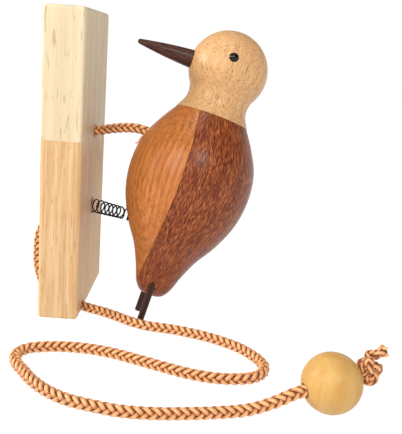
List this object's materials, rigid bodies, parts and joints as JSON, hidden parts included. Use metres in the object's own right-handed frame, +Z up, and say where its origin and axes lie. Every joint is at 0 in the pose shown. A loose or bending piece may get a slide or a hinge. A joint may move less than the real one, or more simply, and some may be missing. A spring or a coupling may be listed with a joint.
{
  "type": "woodpecker door knocker",
  "caption": "Wooden woodpecker door knocker: turned bird on a coil spring in front of an upright board, worked by a braided pull cord with a bead.",
  "frame": {"origin": "on the floor, under the middle of the box round everything but the free pull cord, its bead and its end knot", "axes": "+Z up the board, -X out of the board's back (the wall side), -Y the side that the bird's near eye looks to"},
  "size_m": [0.1795, 0.1708, 0.16],
  "materials": {
    "board_pale": "satin",
    "board_warm": "satin",
    "head_wood": "satin oil",
    "belly_wood": "satin oil",
    "back_wood": "satin oil",
    "beak_wood": "satin oil",
    "rod_wood": "satin",
    "dowel_wood": "bare",
    "bead_wood": "lacquered",
    "eye_black": "polished",
    "cord_fibre": "braided",
    "spring_steel": "dark",
    "hanger_steel": "zinc plated"
  },
  "bodies": {
    "board": {"board_upper": "board_pale", "board_lower": "board_warm", "hanger_plate": "hanger_steel", "plate_screw_near": "hanger_steel", "plate_screw_far": "hanger_steel", "cord_chest": "cord_fibre", "cord_back": "cord_fibre", "pull_cord": "cord_fibre", "end_knot": "cord_fibre", "peck_spring": "spring_steel"},
    "bird": {"head": "head_wood", "eye_near": "eye_black", "eye_far": "eye_black", "beak": "beak_wood", "belly_half": "belly_wood", "back_half": "back_wood", "neck_dowel": "dowel_wood", "tail_rod_near": "rod_wood", "tail_rod_far": "rod_wood"},
    "bead": {"pull_bead": "bead_wood"}
  },
  "joints": [
    {"name": "bird_peck", "type": "hinge", "parent": "board", "child": "bird", "pos_m": [-0.01826, 0.00337, 0.0545], "axis": [0, -1, 0], "range_deg": [0, 13.2], "stiffness_Nm_per_rad": 0.15, "deforming": ["peck_spring", "cord_chest"]},
    {"name": "bead_spin", "type": "hinge", "parent": "board", "child": "bead", "pos_m": [0.09124, -0.11013, 0.013], "axis": [0.9254, 0.3368, 0.1736], "continuous": true}
  ]
}
